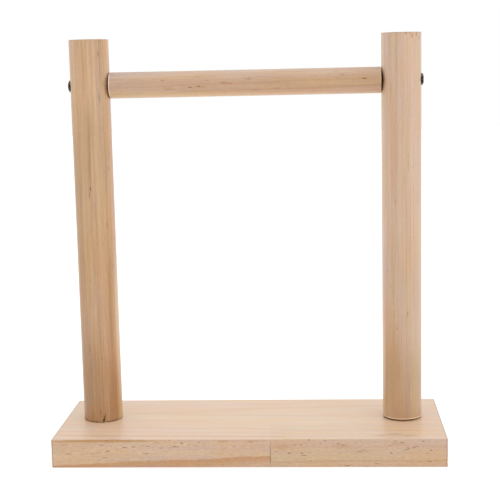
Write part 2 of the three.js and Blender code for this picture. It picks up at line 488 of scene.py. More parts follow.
    def _rings(self, wood: Wood) -> Value:
        """Growth rings, pale at first and darker until the ring ends.

        Args:
            wood: where each point lies in the piece.

        Returns:
            How dark the latewood is, from 0 to 1.
        """
        graph, along = wood.graph, wood.along
        sideways = wood.across - self.pith[0] - along * self.lean[0]
        outward = wood.upward - self.pith[1] - along * self.lean[1]
        if self.bow:
            outward = outward - along * along * self.bow
        stray = (graph.noise(wood.stretched(70, 24, 0.0)) - 0.5) * 2 * self.wander
        ripple = (graph.noise(wood.stretched(14, 3, 5.3)) - 0.5) * 0.5
        radius = (sideways * sideways + outward * outward) ** 0.5 + stray + ripple
        ring = (radius - self.ring_edge) / self.ring_width
        phase = ring.fraction()
        year = ring.floor()
        luck = graph.node("ShaderNodeTexWhiteNoise", {"noise_dimensions": "1D"}, {"W": year + self.seed})
        other_year = abs(year + 1).rise(0, 1)
        strength = 1 - other_year * (1 - self.other_years * (0.6 + luck * 0.8))
        rising = phase.rise(1 - self.late_share * 1.3, 1 - self.late_share * 0.25)
        dropping = 1 - phase.rise(1 - self.RING_BLUNT, 1)
        return (rising * 0.85 + phase * 0.15) * dropping * strength

    def _banded(self, wood: Wood, colour: Value) -> Value:
        """The colour with the piece's bands over it.

        Args:
            wood: where each point lies in the piece.
            colour: the wood's colour so far.

        Returns:
            The banded colour.
        """
        if not self.bands:
            return colour
        graph, along = wood.graph, wood.along
        drift = (graph.noise(wood.stretched(90, 9, 13.7)) - 0.5) * 18
        bearing = self._bearing(wood.across, wood.upward) + drift
        for band in self.bands:
            within = 1 - abs(bearing - band.bearing).rise(band.spread * 0.35, band.spread)
            started = along.rise(band.low, band.low + band.fade)
            ended = along.rise(band.high - band.fade, band.high)
            colour = graph.mixed(colour, (*band.tint, 1.0), within * started * (1 - ended), "MULTIPLY")
        return colour

    def _random_flecks(self, wood: Wood) -> Value:
        """Short cut-open resin canals, in loose clusters, from 0 to 1."""
        graph = wood.graph
        cell = graph.node(
            "ShaderNodeTexVoronoi",
            {"voronoi_dimensions": "3D", "feature": "F1"},
            {"Vector": wood.stretched(9, 1.1, 2.3), "Scale": 1.0},
        )
        chance = graph.split(cell.output("Color"))[0]
        cluster = graph.noise(wood.stretched(24, 5, 19.1)).rise(0.42, 0.56)
        kept = 1 - chance.rise(self.fleck_share * 0.7, self.fleck_share * 1.3)
        return (1 - cell.rise(0.12, 0.3)) * kept * cluster

    def _spots(self, graph: Graph, marks: tuple[Mark, ...]) -> Value:
        """The marks of one stain, ragged at their edges, from 0 to 1."""
        place = graph.scaled(graph.node("ShaderNodeTexCoord", output="Object"), 1 / MM)
        lengths = (3.2, 0.9, 0.9) if self.grain is Grain.ALONG_X else (0.9, 0.9, 3.2)
        stray = graph.noise(graph.vector("DIVIDE", place, lengths), detail=1).output("Color")
        stray = graph.vector("MULTIPLY", graph.vector("SUBTRACT", stray, (0.5, 0.5, 0.5)), (1.1, 1.1, 1.1))
        place = graph.vector("ADD", place, stray)
        found: Value | None = None
        for mark in marks:
            offset = graph.vector("SUBTRACT", place, mark.place)
            if self.grain is Grain.ALONG_X:
                shape = (1 / mark.reach, 1 / mark.breadth, 1 / mark.breadth)
            else:
                shape = (1 / mark.breadth, 1 / mark.breadth, 1 / mark.reach)
            distance = graph.vector("LENGTH", graph.vector("MULTIPLY", offset, shape), (0, 0, 0), 1)
            spot = (1 - distance.rise(mark.core, 1)) * mark.depth
            found = spot if found is None else found.either(spot)
        return found


EDGE_TONE_AND_SHEEN = (0.83, 0.775, 0.71, 1.0)  # the board's sawn edges: their own tone, and painted sheen that leaves the planed faces paler
WHOLE = 600.0  # a band's spread when it goes all the way round


@dataclass(frozen=True)
class Steel:
    """Turned or plated steel.

    Attributes:
        name: the material's name.
        bright: the metal's colour where it is cleanest.
        dull: its colour in the blotches.
        roughness: how soft its gloss is.
        worn_and_glint: its colour in small bright spots: painted glints on the blackened heads, and wear
            where the finish has gone.
    """

    name: str
    bright: Colour
    dull: Colour
    roughness: float
    worn_and_glint: Colour

    def material(self) -> bpy.types.Material:
        """The finished material, blotched and finely scratched."""
        material, graph = new_material(self.name)
        place = graph.scaled(graph.node("ShaderNodeTexCoord", output="Object"), 1 / MM)
        blotches = graph.noise(graph.scaled(place, 0.9), detail=4, roughness=0.6)
        scratches = graph.noise(graph.vector("MULTIPLY", place, (9.0, 9.0, 1.4)), detail=2)
        # Small bright spots: painted glints, and wear.
        glints_and_wear = graph.noise(graph.scaled(place, 1.3), detail=2).rise(0.58, 0.64)
        colour = graph.mixed(self.dull, self.bright, blotches.rise(0.35, 0.65))
        graph.surface({
            "Base Color": graph.mixed(colour, self.worn_and_glint, glints_and_wear),
            "Metallic": 1.0,
            "Roughness": self.roughness + (blotches - 0.5) * 0.25 + (scratches - 0.5) * 0.1,
            "Normal": graph.bump(blotches + scratches * 0.5, 0.02, 0.3),
        })
        return material


# --------------------------------------------------------------------------------------
# The bench


class Element(Enum):
    """What an edit picks out of a mesh."""

    VERT = "verts"
    EDGE = "edges"


def pick(piece: bpy.types.Object) -> None:
    """Leave piece as the only thing that the next operator acts on."""
    if bpy.context.mode != "OBJECT":
        bpy.ops.object.mode_set(mode="OBJECT")
    bpy.ops.object.select_all(action="DESELECT")
    piece.select_set(True)
    bpy.context.view_layer.objects.active = piece


@contextmanager
def editing(piece: bpy.types.Object) -> Iterator[None]:
    """Edit mode on one piece, with nothing selected in it."""
    pick(piece)
    bpy.ops.object.mode_set(mode="EDIT")
    bpy.ops.mesh.select_all(action="DESELECT")
    yield
    bpy.ops.object.mode_set(mode="OBJECT")


def choose(piece: bpy.types.Object, element: Element, wanted: Callable[[object], bool]) -> None:
    """Select what is wanted of the mesh that is being edited.

    Args:
        piece: the object in edit mode.
        element: vertices or edges.
        wanted: says of one of them whether it is selected.
    """
    bpy.ops.mesh.select_mode(type=element.name)
    bpy.ops.mesh.select_all(action="DESELECT")
    mesh = bmesh.from_edit_mesh(piece.data)
    for part in getattr(mesh, element.value):
        if wanted(part):
            part.select_set(True)
    mesh.select_flush_mode()
    bmesh.update_edit_mesh(piece.data)


def settle(name: str) -> bpy.types.Object:
    """Name the new object and put its place, turn and scale into its mesh."""
    piece = bpy.context.object
    piece.name = name
    piece.data.name = name
    pick(piece)
    bpy.ops.object.transform_apply(location=True, rotation=True, scale=True)
    return piece


def block(name: str, low: Point, high: Point) -> bpy.types.Object:
    """A square block between two corners."""
    middle = [(a + b) / 2 * MM for a, b in zip(low, high)]
    sides = [(b - a) * MM for a, b in zip(low, high)]
    bpy.ops.mesh.primitive_cube_add(size=1, location=middle, scale=sides)
    return settle(name)


def rod(name: str, radius: float, low: Point, high: Point, sides: int) -> bpy.types.Object:
    """A round rod from one point to another.

    Args:
        name: the object's name.
        radius: of the rod.
        low: the middle of one end.
        high: the middle of the other end.
        sides: facets round it.

    Returns:
        The rod, closed at both ends.
    """
    run = Vector(high) - Vector(low)
    bpy.ops.mesh.primitive_cylinder_add(
        vertices=sides,
        radius=radius * MM,
        depth=run.length * MM,
        location=(Vector(low) + Vector(high)) / 2 * MM,
        rotation=run.to_track_quat("Z", "Y").to_euler(),
    )
    return settle(name)


def turn_up(name: str, profile: list[tuple[float, float]], sides: int) -> bpy.types.Object:
    """Turn a closed body round the Z axis by drawing a disc up through a profile.

    Args:
        name: the object's name.
        profile: radius and height of each step, upwards; the last may be a point.
        sides: facets round it.

    Returns:
        The turned body.
    """
    radius, height = profile[0]
    bpy.ops.mesh.primitive_circle_add(
        vertices=sides, radius=radius * MM, location=(0, 0, height * MM), fill_type="NGON"
    )
    piece = settle(name)
    with editing(piece):
        bpy.ops.mesh.select_all(action="SELECT")
        for next_radius, next_height in profile[1:]:
            rise = (0, 0, (next_height - height) * MM)
            bpy.ops.mesh.extrude_region_move(TRANSFORM_OT_translate={"value": rise})
            if next_radius > 0:
                share = next_radius / radius
                bpy.ops.transform.resize(value=(share, share, 1))
            else:
                bpy.ops.mesh.merge(type="CENTER")
            radius, height = next_radius, next_height
        bpy.ops.mesh.select_all(action="SELECT")
        bpy.ops.mesh.normals_make_consistent(inside=False)
    return piece


PILOT_RADIUS = 1.8
DRILL_POINT = 1.1


def pilot_hole(mouth: float, depth: float) -> bpy.types.Object:
    """A pilot hole up the Z axis, from its mouth to its depth and the drill's point."""
    full = mouth + depth
    profile = [(PILOT_RADIUS, mouth - OVERRUN), (PILOT_RADIUS, full), (0, full + DRILL_POINT)]
    return turn_up("pilot_hole", profile, 32)


def work(piece: bpy.types.Object, tool: bpy.types.Object, operation: str = "DIFFERENCE") -> None:
    """Cut, join or trim a piece with a tool, which is used up."""
    pick(piece)
    modifier = piece.modifiers.new("work", "BOOLEAN")
    modifier.operation = operation
    modifier.solver = "EXACT"
    modifier.object = tool
    bpy.ops.object.modifier_apply(modifier=modifier.name)
    bpy.data.objects.remove(tool)


def smooth(piece: bpy.types.Object, sharpest: float = 32) -> None:
    """Shade a piece smooth where its faces turn by less than sharpest degrees."""
    pick(piece)
    bpy.ops.object.shade_smooth_by_angle(angle=math.radians(sharpest))
    modifier = piece.modifiers.new("faces", "WEIGHTED_NORMAL")
    modifier.keep_sharp = True
    bpy.ops.object.modifier_apply(modifier=modifier.name)


def place(piece: bpy.types.Object, at: Point, turn: tuple[float, float, float]) -> None:
    """Turn a piece, in degrees, and move it, all in its mesh."""
    pick(piece)
    piece.rotation_euler = [math.radians(angle) for angle in turn]
    piece.location = Vector(at) * MM
    bpy.ops.object.transform_apply(location=True, rotation=True, scale=True)


def hand_over(piece: bpy.types.Object, node: str, material: bpy.types.Material) -> None:
    """Dress a piece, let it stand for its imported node, and report it.

    Args:
        piece: the finished piece.
        node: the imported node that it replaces.
        material: its finish.
    """
    smooth(piece)
    piece.data.materials.clear()
    piece.data.materials.append(material)
    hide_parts(node)
    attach(piece, "root")
    log.info("%s stands for %s: %d faces", piece.name, node, len(piece.data.polygons))


# --------------------------------------------------------------------------------------
# The board


@dataclass
class Board:
    """A pine board glued up from a finger-jointed front row and one wide rear stave.

    Attributes:
        arris: radius of the sanded outer edges.
        glue_line: left between two staves.
        finger_count: fingers across the front row.
        finger_length: from root to tip.
        finger_tip: blunt width of a tip.
        head_radius: mouth of a countersunk hole.
        clearance: radius of the hole round a base screw.
        nick_size: half the size of the block that breaks the lower front corner.
        nick_inset: how far that block's middle lies outside the corner.
        nick_level: how high the nick is.
    """

    arris: float = 0.4
    glue_line: float = 0.06
    finger_count: int = 8
    finger_length: float = 10.0
    finger_tip: float = 0.7
    head_radius: float = 4.3
    clearance: float = 2.3
    nick_size: Point = (1.2, 1.2, 2.2)
    nick_inset: float = 0.25
    nick_level: float = 3.8
    low: Vector = field(init=False)
    high: Vector = field(init=False)
    seam_y: float = field(init=False)
    joint_x: float = field(init=False)

    def __post_init__(self) -> None:
        """Read the board's outline, its glue seam and its end joint from the frame."""
        left, right, rear = (node_box(n) for n in ("front_stave_left", "front_stave_right", "rear_stave"))
        self.low = Vector((left[0].x, left[0].y, 0))
        self.high = Vector((right[1].x, rear[1].y, rear[1].z))
        self.seam_y = (left[1].y + rear[0].y) / 2
        self.joint_x = (left[1].x - self.finger_length + right[0].x) / 2

    def build(self) -> None:
        """Model and dress the three staves."""
        row = (self.low.y - OVERRUN, self.seam_y - self.glue_line / 2)
        left = self._slab("front_stave_left_wood", (self.low.x - OVERRUN, self.joint_x), row)
        right = self._slab("front_stave_right_wood", (self.joint_x, self.high.x + OVERRUN), row)
        rear = self._slab(
            "rear_stave_wood",
            (self.low.x - OVERRUN, self.high.x + OVERRUN),
            (self.seam_y + self.glue_line / 2, self.high.y + OVERRUN),
        )
        self._cut_fingers(left, -1)
        self._cut_fingers(right, 1)
        for stave in (left, right, rear):
            work(stave, self._blank(), "INTERSECT")
        for screw in ("left_base_screw", "right_base_screw"):
            work(rear, self._countersink(screw))
        work(right, self._corner_nick())
        hand_over(left, "front_stave_left", self._left_pine().material())
        hand_over(right, "front_stave_right", self._right_pine().material())
        hand_over(rear, "rear_stave", self._rear_pine().material())

    def _slab(self, name: str, run: tuple[float, float], row: tuple[float, float]) -> bpy.types.Object:
        """A stave's plan at more than the board's thickness, before it is trimmed."""
        low = (run[0], row[0], self.low.z - OVERRUN)
        return block(name, low, (run[1], row[1], self.high.z + OVERRUN))

    def _blank(self) -> bpy.types.Object:
        """The whole board with its outer edges rounded over."""
        blank = block("board_blank", self.low, self.high)
        with editing(blank):
            bpy.ops.mesh.select_all(action="SELECT")
            bpy.ops.mesh.bevel(offset=self.arris * MM, segments=5, profile=0.5, affect="EDGES")
        return blank

    def _cut_fingers(self, stave: bpy.types.Object, side: int) -> None:
        """Cut the fingers into the joint end of a front stave.

        Args:
            stave: the slab, square at joint_x.
            side: -1 for the stave that ends at the joint, and 1 for the one that starts there.
        """
        pitch = (self.seam_y - self.low.y) / self.finger_count
        back = side * self.glue_line / 2
        half_tip = self.finger_tip / 2 + back
        half_root = (pitch - self.finger_tip) / 2 + back
        with editing(stave):
            choose(stave, Element.VERT, lambda v: abs(v.co.x / MM - self.joint_x) < 0.01)
            bpy.ops.transform.translate(value=(back * MM, 0, 0))
            for finger in range(self.finger_count):
                middle = self.low.y + (finger + 0.5) * pitch
                for offset in (-half_root, -half_tip, half_tip, half_root):
                    bpy.ops.mesh.select_all(action="SELECT")
                    line = (0, (middle + offset) * MM, 0)
                    bpy.ops.mesh.bisect(plane_co=line, plane_no=(0, 1, 0))

            def on_tip(vert: bmesh.types.BMVert) -> bool:
                """Whether a vertex lies in the joint face, on a finger's tip."""
                across = (vert.co.y / MM - self.low.y) / pitch % 1 - 0.5
                at_joint = abs(vert.co.x / MM - self.joint_x - back) < 0.01
                in_row = self.low.y < vert.co.y / MM < self.seam_y
                return at_joint and in_row and abs(across) * pitch < half_tip + 0.01

            choose(stave, Element.VERT, on_tip)
            bpy.ops.transform.translate(value=(self.finger_length * MM, 0, 0))

    def _countersink(self, screw: str) -> bpy.types.Object:
        """The hole for one base screw, with its cone for the head."""
        low, high = node_box(screw)
        rim = low.z + Screw.FLAT_RIM
        cone = rim + self.head_radius - self.clearance
        profile = [
            (self.head_radius, -OVERRUN),
            (self.head_radius, rim),
            (self.clearance, cone),
            (self.clearance, self.high.z + OVERRUN),
        ]
        hole = turn_up("countersink", profile, 64)
        place(hole, ((low.x + high.x) / 2, (low.y + high.y) / 2, 0), (0, 0, 0))
        return hole

    def _corner_nick(self) -> bpy.types.Object:
        """A sliver that has broken from the lower front corner at the right-hand end."""
        nick = block("nick", [-half for half in self.nick_size], self.nick_size)
        with editing(nick):
            bpy.ops.mesh.select_all(action="SELECT")
            bpy.ops.mesh.bevel(offset=0.5 * MM, segments=2, affect="EDGES")
        at = (self.high.x + self.nick_inset, self.low.y - self.nick_inset, self.nick_level)
        place(nick, at, (4, -6, 45))
        return nick

    def _end_band(self, side: int) -> Band:
        """A darker strip, 0.9 mm wide, round one end of the board, -1 for the left and 1 for the right."""
        end = self.low.x if side < 0 else self.high.x
        run = sorted((end - side * 0.9, end + side * OVERRUN))
        tint = (0.6, 0.62, 0.68) if side < 0 else (0.72, 0.74, 0.8)
        return Band(0, WHOLE, run[0], run[1], tint, 0.3)

    def _face_marks(self, spots: tuple[tuple[float, float, float, float], ...]) -> tuple[Mark, ...]:
        """Flecks in the front face.

        Args:
            spots: along the board, up from its underside, half a fleck's length, and its depth.

        Returns:
            The flecks.
        """
        return tuple(Mark((x, self.low.y, z), reach * 1.3, 0.34, depth) for x, z, reach, depth in spots)

    def _joint_marks(self) -> tuple[Mark, ...]:
        """The dark line of the end joint in the front face, with painted shade in the spots where it is open.
        """
        face = self.low.y
        gaps = ((13.2, 0.5), (10.6, 0.5), (8.8, 0.6), (7.5, 0.5), (6.2, 0.6), (5.0, 1.0), (3.8, 0.9))
        line = Mark((self.joint_x, face, 9.0), 0.34, 9.3, 0.35, 0.7)
        return (line, *(Mark((self.joint_x, face, z), 0.42, 0.5, depth, 0.4) for z, depth in gaps))

    @staticmethod
    def _stave_pine(**cut: object) -> Pine:
        """Board pine, with what sets one stave's cut apart from the others'."""
        return Pine(grain=Grain.ALONG_X, middle=(0, 0, 0), edge_tone_and_sheen=EDGE_TONE_AND_SHEEN, streak_depth=0.06, **cut)

    def _left_pine(self) -> Pine:
        """The longer length of the front row."""
        spots = (  # read along a ruler, to half a millimetre
            (-114, 14.5, 2, 0.7), (-112.5, 9, 2.5, 0.55), (-102.5, 12.5, 2, 0.35), (-97.5, 9, 1, 1.0),
            (-93.5, 10, 2, 0.8), (-87.5, 10.5, 1.5, 0.8), (-91.5, 14.5, 1.5, 0.9), (-88, 17.5, 1, 1.0),
            (-85.5, 14, 1, 0.6), (-76.5, 13, 2, 0.8), (-65.5, 14, 1, 0.6), (-63.5, 9, 2.5, 0.9),
            (-56.5, 16, 2, 0.5), (-54, 12.5, 1, 0.5), (-51, 10, 1, 0.5), (-48.5, 17.5, 1, 0.6),
            (-45.5, 13.5, 2.5, 0.8), (-41, 15.5, 1, 1.0), (-36.5, 14.5, 1, 1.0), (-33, 14, 1, 0.4),
            (-30.5, 16, 1, 0.6), (-16.5, 16.5, 2, 0.35), (1.5, 16.5, 2, 0.35), (10, 13.5, 1, 0.6),
        )
        return self._stave_pine(
            name="front_left_pine",
            pith=(15.0, -13.4),
            lean=(0.0, 0.035),
            bow=-0.00010,
            ring_width=6.8,
            ring_edge=63.5,
            late_share=0.24,
            wander=0.7,
            early=paint(231, 205, 182),
            late=paint(214, 169, 124),
            ring_depth=0.87,
            other_years=0.4,
            speckle_depth=0.22,
            seed=3.7,
            fleck_share=0.11,
            bands=(self._end_band(-1),),
            flecks=self._face_marks(spots),
            ambers=(
                Mark((-90, self.low.y, 17.2), 44, 1.3, 0.9),
                Mark((-15, self.low.y, 16.8), 6, 1.3, 0.3),
                Mark((1.9, self.low.y, 16.6), 6, 1.3, 0.3),
                Mark((-85, -38.5, self.high.z), 38, 1.3, 0.2),
            ),
            grimes=self._joint_marks(),
        )

    def _right_pine(self) -> Pine:
        """The shorter length of the front row."""
        spots = (  # read along a ruler, to half a millimetre
            (38, 17.5, 1, 1.0), (29, 14.5, 1.5, 1.0), (33, 14.5, 1, 0.8), (25.5, 9, 1, 1.0),
            (27, 9.5, 1, 0.4), (33.5, 9, 1, 0.9), (17.5, 10, 1, 0.7), (16.5, 6, 1, 0.5),
            (45, 15, 0.5, 0.9), (48, 17, 1, 0.8),
            (56, 15, 1, 0.7), (59, 14, 1.5, 0.7), (57, 9.5, 1, 0.4), (61, 11, 1, 0.5), (69, 10, 1.5, 0.7),
            (72.5, 0.5, 2, 0.6), (39, 4, 1, 0.7), (88.5, 9, 1, 0.9), (91, 16.5, 1, 0.9), (95, 15.5, 1, 0.8),
            (88, 13.5, 1.5, 0.7), (99, 12, 1, 0.9), (102.5, 12.5, 1, 0.9), (104.5, 13, 1, 0.7),
            (108, 16.5, 1, 1.0), (113, 10.5, 1, 1.0), (110.5, 9, 1, 0.6), (112, 3.5, 1.5, 0.8),
        )
        return self._stave_pine(
            name="front_right_pine",
            pith=(5.0, -40.0),
            lean=(0.0, 0.004),
            ring_width=6.3,
            ring_edge=66.8,
            late_share=0.16,
            wander=0.6,
            early=paint(227, 201, 176),
            late=paint(217, 173, 130),
            ring_depth=0.5,
            other_years=0.5,
            speckle_depth=0.24,
            seed=12.9,
            fleck_share=0.11,
            bands=(self._end_band(1),),
            flecks=self._face_marks(spots),
            ambers=(
                Mark((21, self.low.y, 13.2), 7, 3.0, 0.3),
                Mark((58, self.low.y, 13.5), 8, 2.4, 0.3),
                Mark((93, self.low.y, 15), 8, 1.8, 0.3),
                Mark((70, self.low.y, 10), 9, 1.2, 0.25),
                Mark((82, -37.5, self.high.z), 7, 1.6, 0.5),
                Mark((91, -35.5, self.high.z), 7, 1.8, 0.5),
                Mark((100, -38, self.high.z), 7, 1.6, 0.45),
            ),
            # Besides the joint, painted shade in the broken nick at the corner.
            grimes=(*self._joint_marks(), Mark((self.high.x, self.low.y, self.nick_level), 1.2, 2.0, 0.6)),
        )

    def _rear_pine(self) -> Pine:
        """The wide rear stave, sawn through the heart."""
        return self._stave_pine(
            name="rear_pine",
            pith=(14.5, -1.0),
            lean=(0.02, 0.03),
            ring_width=6.5,
            ring_edge=21.4,
            late_share=0.3,
            wander=1.4,
            early=paint(232, 206, 181),
            late=paint(219, 180, 145),
            ring_depth=0.4,
            other_years=0.8,
            speckle_depth=0.2,
            seed=27.1,
            fleck_share=0.15,
            bands=(self._end_band(-1), self._end_band(1)),
        )


# --------------------------------------------------------------------------------------
# Posts and perch


@dataclass
class Post:
    """A round post with a spot-faced cross hole for the perch's screw.

    Attributes:
        side: left or right, as the frame's names have it.
        foot_arris: how far the edge of its foot is broken.
        top_arris: how far the edge of its top is broken.
        fuzz: how ragged its sawn foot is.
        hole_radius: of the cross hole for the perch's screw.
        spot_radius: of the flat seat for that screw's head.
        spot_depth: how far that seat is sunk.
        pilot_depth: how deep the hole up the foot is.
        sides: facets round it.
    """

    side: str
    foot_arris: float = 0.6
    top_arris: float = 0.25
    fuzz: float = 0.0
    hole_radius: float = 2.3
    spot_radius: float = 4.3
    spot_depth: float = 1.5
    pilot_depth: float = 24.7
    sides: int = 112
    low: Vector = field(init=False)
    high: Vector = field(init=False)

    def __post_init__(self) -> None:
        """Read the post's place from the frame."""
        self.low, self.high = node_box(f"{self.side}_post")

    @property
    def axis(self) -> tuple[float, float]:
        """X and Y of the post's middle."""
        return (self.low.x + self.high.x) / 2, (self.low.y + self.high.y) / 2

    @property
    def radius(self) -> float:
        """Radius of the post."""
        return (self.high.y - self.low.y) / 2

    def build(self) -> None:
        """Model and dress the post."""
        x, y = self.axis
        post = rod(f"{self.side}_post_wood", self.radius, (x, y, self.low.z), (x, y, self.high.z), self.sides)
        break_end(post, 2, self.low.z, self.foot_arris)
        break_end(post, 2, self.high.z, self.top_arris)
        if self.fuzz:
            self._roughen_foot(post)
        self._drill(post)
        if self.side == "left":
            work(post, self._crack())
        pine = self._left_pine() if self.side == "left" else self._right_pine()
        hand_over(post, f"{self.side}_post", pine.material())

    def _roughen_foot(self, post: bpy.types.Object) -> None:
        """Leave the sawn edge of the foot slightly torn."""
        with editing(post):
            def on_arris(vert: bmesh.types.BMVert) -> bool:
                """Whether a vertex lies on the foot's broken edge."""
                return self.low.z + 0.05 < vert.co.z / MM < self.low.z + self.foot_arris + 0.01
            choose(post, Element.VERT, on_arris)
            bpy.ops.transform.vertex_random(offset=self.fuzz * MM, normal=0.2, seed=4)

    def _drill(self, post: bpy.types.Object) -> None:
        """Drill the cross hole and its spot face, and the pilot hole up the foot."""
        x, y = self.axis
        low, high = node_box(f"{self.side}_perch_screw")
        level = (low.z + high.z) / 2
        outward = -1 if self.side == "left" else 1
        reach = outward * (self.radius + OVERRUN)
        inner, outer = (x - reach, y, level), (x + reach, y, level)
        work(post, rod("cross_hole", self.hole_radius, inner, outer, 48))
        seat = (x + outward * (self.radius - self.spot_depth), y, level)
        work(post, rod("spot_face", self.spot_radius, seat, outer, 64))
        hole = pilot_hole(self.low.z, self.pilot_depth)
        place(hole, (x, y, 0), (0, 0, 0))
        work(post, hole)

    def _crack(self) -> bpy.types.Object:
        """A hairline split that runs up from the foot, widest at the bottom."""
        bearing = math.radians(10)
        x, y = self.axis
        wedge = block("crack", (-0.5, -2.4, -1.0), (0.5, 2.4, 6.0))
        with editing(wedge):
            choose(wedge, Element.VERT, lambda v: v.co.z > 0)
            bpy.ops.transform.resize(value=(0.15, 0.5, 1), center_override=(0, 0, 0))
        at = (x + self.radius * math.sin(bearing), y - self.radius * math.cos(bearing), self.low.z)
        place(wedge, at, (0, 17, 10))
        return wedge

    def _perch_shade(self, breadth: float, core: float) -> Mark:
        """Painted shade on the post in the gap round the perch's end, so wide and with such a core."""
        x, y = self.axis
        low, high = node_box("perch")
        inward = 1 if self.side == "left" else -1
        level = (low.z + high.z) / 2
        return Mark((x + inward * self.radius, y, level), (high.z - low.z) / 2, breadth, 0.95, core)

    def _mark(self, bearing: float, level: float, reach: float, breadth: float, depth: float) -> Mark:
        """A mark on the post, at a bearing from its front and a height."""
        x, y = self.axis
        angle = math.radians(bearing)
        spot = (x + self.radius * math.sin(angle), y - self.radius * math.cos(angle), level)
        return Mark(spot, reach, breadth, depth)

    def _marks(self, *spots: tuple[float, ...]) -> tuple[Mark, ...]:
        """Several marks, each given as _mark takes it."""
        return tuple(self._mark(*spot) for spot in spots)

    def _left_pine(self) -> Pine:
        """The browner left-hand post."""
        x, y = self.axis
        torn = (-68, -57, -49, -22, -12, 22, 41, 52)
        return Pine(
            name="left_post_pine",
            grain=Grain.ALONG_Z,
            middle=(x, y, 0),
            pith=(-32.0, -25.0),
            lean=(0.008, 0.0),
            ring_width=2.7,
            ring_edge=36.0,
            late_share=0.3,
            wander=0.5,
            early=paint(200, 164, 128),
            late=paint(182, 135, 94),
            ring_depth=0.35,
            other_years=0.8,
            streak_depth=0.22,
            fibre_depth=0.34,
            speckle_depth=0.1,
            seed=41.3,
            fleck_share=0.08,
            bands=(
                # Painted light and shade: paler towards the top, darker and browner at the foot, where the
                # board takes light from below.
                Band(0, WHOLE, 195, 300, (1.08, 1.1, 1.14), 40),
                Band(0, WHOLE, -40, 78, (0.84, 0.77, 0.66), 34),
                # Painted shade: darker on the left of the front.
                Band(-38, 17, -40, 190, (0.9, 0.885, 0.87)),
                Band(-6, 50, -40, 90, (0.92, 0.9, 0.9)),
                Band(-1, 10, 160, 232, (0.87, 0.81, 0.75)),
                Band(40, 16, 60, 300, (0.93, 0.92, 0.91)),
                Band(47, 14, -20, 140, (0.91, 0.84, 0.77)),
                # Painted light: paler and cooler at the upper left edge.
                Band(-50, 34, 220, 300, (1.03, 1.08, 1.2)),
                Band(40, 16, 225, 300, (0.93, 0.92, 0.88)),
                # Painted light: paler and cooler down the right-hand edge.
                Band(82, 24, -60, 140, (1.2, 1.36, 1.46), 40),
                Band(82, 24, 100, 300, (1.1, 1.15, 1.22), 40),
            ),
            flecks=(
                *self._marks(
                    (-1, 170.5, 3.4, 0.42, 1.0), (-4, 167.5, 3.2, 0.36, 0.8), (-25, 66, 0.9, 0.35, 0.8),
                    (-25, 53, 0.8, 0.3, 0.6), (3, 25, 4.2, 0.28, 0.9), (10, 78, 0.8, 0.3, 0.7),
                    (11, 61, 0.8, 0.3, 0.8), (-24, 68, 3.0, 0.25, 0.4),
                ),
                *self._marks(*((bearing, 18.9, 0.5, 0.9, 0.9) for bearing in torn)),
            ),
            ambers=self._marks(
                (11, 60, 34, 0.3, 0.4), (5, 120, 50, 0.3, 0.25),
            ),
            greys=self._marks(
                (41, 251, 17, 0.5, 0.75), (36, 229, 6, 0.6, 0.6), (-8, 246, 24, 0.5, 0.2),
            ),
            # Painted shade: dark in the gap round the perch's end, and in the crack at the foot.
            grimes=(
                self._perch_shade(5.0, 0.75),
                self._mark(8.5, 19.6, 1.6, 0.5, 0.95),
                self._mark(12, 22.2, 1.8, 0.4, 0.9),
            ),
        )

    def _right_pine(self) -> Pine:
        """The paler right-hand post."""
        x, y = self.axis
        return Pine(
            name="right_post_pine",
            grain=Grain.ALONG_Z,
            middle=(x, y, 0),
            pith=(-17.5, -30.3),
            lean=(0.006, 0.0),
            ring_width=2.1,
            ring_edge=30.7,
            late_share=0.26,
            wander=0.35,
            early=paint(211, 182, 159),
            late=paint(197, 158, 122),
            ring_depth=0.35,
            other_years=0.8,
            streak_depth=0.12,
            fibre_depth=0.16,
            speckle_depth=0.08,
            seed=58.9,
            fleck_share=0.02,
            bands=(
                # Painted shade: darker towards the foot, and browner at it.
                Band(0, WHOLE, -60, 150, (0.95, 0.93, 0.9), 40),
                Band(0, WHOLE, -40, 78, (0.87, 0.83, 0.71), 34),
                # Painted highlight on the foot's broken edge, then painted shadow, near black, where the foot
                # meets the board.
                Band(15, 110, 19.2, 20.0, (1.6, 1.75, 2.0), 0.12),
                Band(-15, 100, 17, 19.28, (0.02, 0.02, 0.02), 0.12),
                Band(0, WHOLE, 264.5, 266, (0.7, 0.62, 0.55), 0.25),
                Band(-35, 38, 22, 100, (0.92, 0.86, 0.75), 40),
                # Painted light: paler down the left-hand edge.
                Band(-60, 40, -60, 300, (1.08, 1.09, 1.1)),
                Band(-78, 20, -60, 300, (1.05, 1.08, 1.09)),
                Band(-78, 22, -60, 90, (1.12, 1.12, 1.1)),
                Band(15, 14, -60, 240, (0.95, 0.94, 0.92)),
            ),
            flecks=self._marks(
                (9, 264.2, 1.4, 0.3, 0.8), (22, 264.0, 1.6, 0.3, 0.8), (29, 262.8, 2.6, 0.36, 0.9),
                (44, 263.0, 2.2, 0.36, 0.9), (58, 262.0, 3.0, 0.4, 0.9),
            ),
            ambers=self._marks(
                (-35, 229, 12, 0.45, 0.6), (-24, 160, 3.5, 0.4, 0.6), (-28, 90, 38, 0.4, 0.5),
                (16, 185, 9, 0.4, 0.55), (10, 153, 6, 0.4, 0.55), (7, 83, 7, 0.4, 0.5),
                (33, 150, 110, 0.3, 0.45), (50, 150, 110, 0.3, 0.4), (57, 190, 70, 0.3, 0.35),
                (24, 100, 60, 0.25, 0.3),
            ),
            # Painted shade in the gap round the perch's end.
            grimes=(self._perch_shade(7.4, 0.45),),
        )


